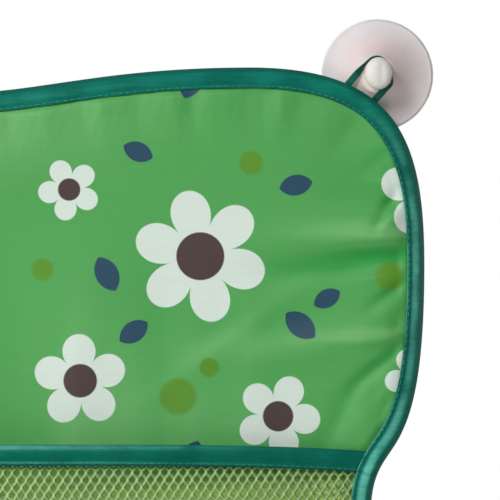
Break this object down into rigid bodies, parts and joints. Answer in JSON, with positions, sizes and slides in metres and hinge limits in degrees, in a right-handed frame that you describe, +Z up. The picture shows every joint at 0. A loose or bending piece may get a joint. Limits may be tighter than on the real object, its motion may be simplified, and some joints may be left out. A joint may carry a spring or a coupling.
{
  "type": "bath toy organizer",
  "caption": "Wall-hung bath toy bag: printed cloth back panel, bowed net pocket with a bound mouth, taped edge and tape loops on suction cups.",
  "frame": {"origin": "on the wall plane, midway between the axes of the two suction cups", "axes": "+X to the viewer's right, +Y into the wall that the cups hold on, +Z up; the bag faces -Y"},
  "size_m": [0.4386, 0.0503, 0.4003],
  "materials": {
    "panel_cloth": "satin woven polyester, printed",
    "pocket_net": "knitted polyester net, matt",
    "edge_tape": "woven binding tape, matt",
    "mouth_tape": "woven binding tape, matt",
    "loop_tape": "narrow woven tape, matt",
    "cup_pvc": "soft translucent PVC, glossy"
  },
  "bodies": {
    "wall_cups": {"left_suction_cup": "cup_pvc", "right_suction_cup": "cup_pvc"},
    "bag": {"back_panel": "panel_cloth", "head_binding": "edge_tape", "pocket_binding": "edge_tape", "left_hanging_loop": "loop_tape", "right_hanging_loop": "loop_tape"},
    "pocket_front": {"pocket_mesh": "pocket_net", "mouth_binding": "mouth_tape"}
  },
  "joints": [
    {"name": "bag_swing", "type": "hinge", "parent": "wall_cups", "child": "bag", "pos_m": [0, -0.0163, 0.0071], "axis": [-1, 0, 0], "range_deg": [0, 18]},
    {"name": "mouth_open", "type": "hinge", "parent": "bag", "child": "pocket_front", "pos_m": [0, -0.0161, -0.366], "axis": [1, 0, 0], "range_deg": [0, 8], "deforming": ["pocket_mesh", "mouth_binding"]}
  ]
}
